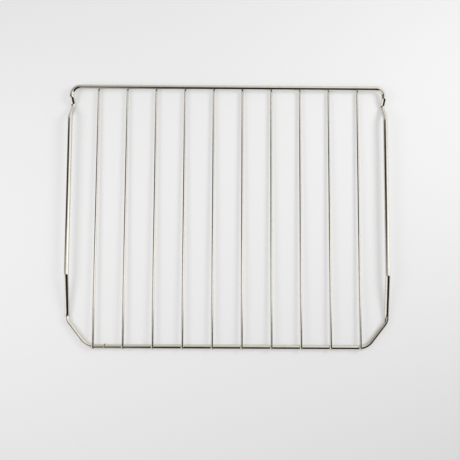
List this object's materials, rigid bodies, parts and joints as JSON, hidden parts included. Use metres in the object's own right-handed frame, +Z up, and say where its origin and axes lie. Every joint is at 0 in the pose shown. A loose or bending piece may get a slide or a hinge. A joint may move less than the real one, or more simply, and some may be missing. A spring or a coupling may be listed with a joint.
{
  "type": "oven shelf rack",
  "caption": "Wire oven shelf rack: bent thick-wire frame with cut-off front corners, raised side runners and stop notches, and thin parallel wires welded across it from front to back.",
  "frame": {"origin": "on the floor under the middle of the rack", "axes": "+X to the right along the front bar, +Y from the front bar to the back bar, +Z up"},
  "size_m": [0.4066, 0.335, 0.0144],
  "materials": {
    "frame_wire": "bright plated drawn steel wire, faintly warm",
    "shelf_wire": "bright plated drawn steel wire, faintly warm, browned at the welds"
  },
  "bodies": {
    "root": {"frame": "frame_wire", "shelf_wire_01": "shelf_wire", "shelf_wire_02": "shelf_wire", "shelf_wire_03": "shelf_wire", "shelf_wire_04": "shelf_wire", "shelf_wire_05": "shelf_wire", "shelf_wire_06": "shelf_wire", "shelf_wire_07": "shelf_wire", "shelf_wire_08": "shelf_wire", "shelf_wire_09": "shelf_wire", "shelf_wire_10": "shelf_wire"}
  },
  "joints": []
}
